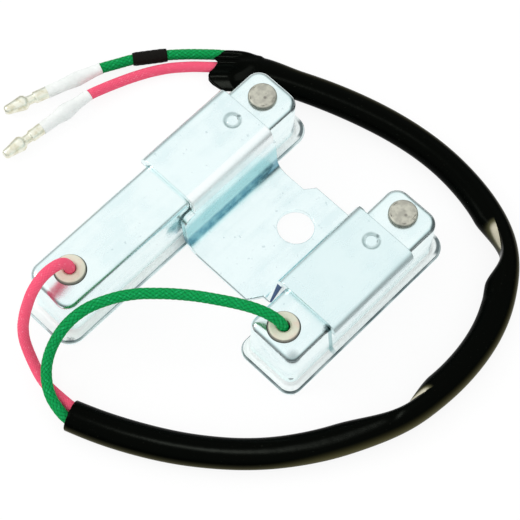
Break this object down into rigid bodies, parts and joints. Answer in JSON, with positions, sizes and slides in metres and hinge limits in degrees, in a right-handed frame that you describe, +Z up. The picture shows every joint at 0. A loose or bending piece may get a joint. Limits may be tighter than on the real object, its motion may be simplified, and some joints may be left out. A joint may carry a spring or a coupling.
{
  "type": "lighting load resistor",
  "caption": "Lighting load resistor: a long and a short plated-steel resistor side by side on one folded bracket, with two leads in a black sleeve ending in bullet terminals.",
  "frame": {"origin": "on the axis of the bracket's bolt hole, at the underside of the web and of the base plates", "axes": "+Z up out of the bolt hole, +Y along the resistors toward their ground rivets, the lead bushes toward -Y, the short resistor toward +X"},
  "size_m": [0.1298, 0.115, 0.0222],
  "materials": {
    "bracket_zinc": "bluish bright zinc plating on folded sheet steel",
    "case_zinc": "bluish bright zinc plating on drawn sheet steel",
    "rivet_steel": "dull mottled steel",
    "bush_ceramic": "unglazed cream ceramic",
    "former_ceramic": "unglazed ceramic rod",
    "resistance_ribbon": "oxidised resistance ribbon",
    "tinned_terminal": "tin plated brass",
    "cement_fill": "cast filling cement",
    "pink_insulation": "smooth insulation with a soft sheen",
    "green_braid": "varnished braid",
    "black_sleeve": "soft glossy vinyl tube",
    "black_shrink": "shrunk tube with a soft sheen",
    "clear_vinyl": "soft milky clear vinyl"
  },
  "bodies": {
    "root": {"mounting_bracket": "bracket_zinc", "pink_lead": "pink_insulation", "green_lead": "green_braid", "lead_sleeve": "black_sleeve", "green_shrink_band": "black_shrink", "pink_bullet": "tinned_terminal", "green_bullet": "tinned_terminal", "pink_clear_sleeve": "clear_vinyl", "green_clear_sleeve": "clear_vinyl", "long_case": "case_zinc", "long_base_plate": "case_zinc", "long_lead_bush": "bush_ceramic", "long_ground_rivet": "rivet_steel", "long_former": "former_ceramic", "long_winding": "resistance_ribbon", "long_front_cap": "tinned_terminal", "long_rear_cap": "tinned_terminal", "long_lead_link": "tinned_terminal", "long_ground_strap": "tinned_terminal", "long_cement": "cement_fill", "short_case": "case_zinc", "short_base_plate": "case_zinc", "short_lead_bush": "bush_ceramic", "short_ground_rivet": "rivet_steel", "short_former": "former_ceramic", "short_winding": "resistance_ribbon", "short_front_cap": "tinned_terminal", "short_rear_cap": "tinned_terminal", "short_lead_link": "tinned_terminal", "short_ground_strap": "tinned_terminal", "short_cement": "cement_fill"}
  },
  "joints": []
}
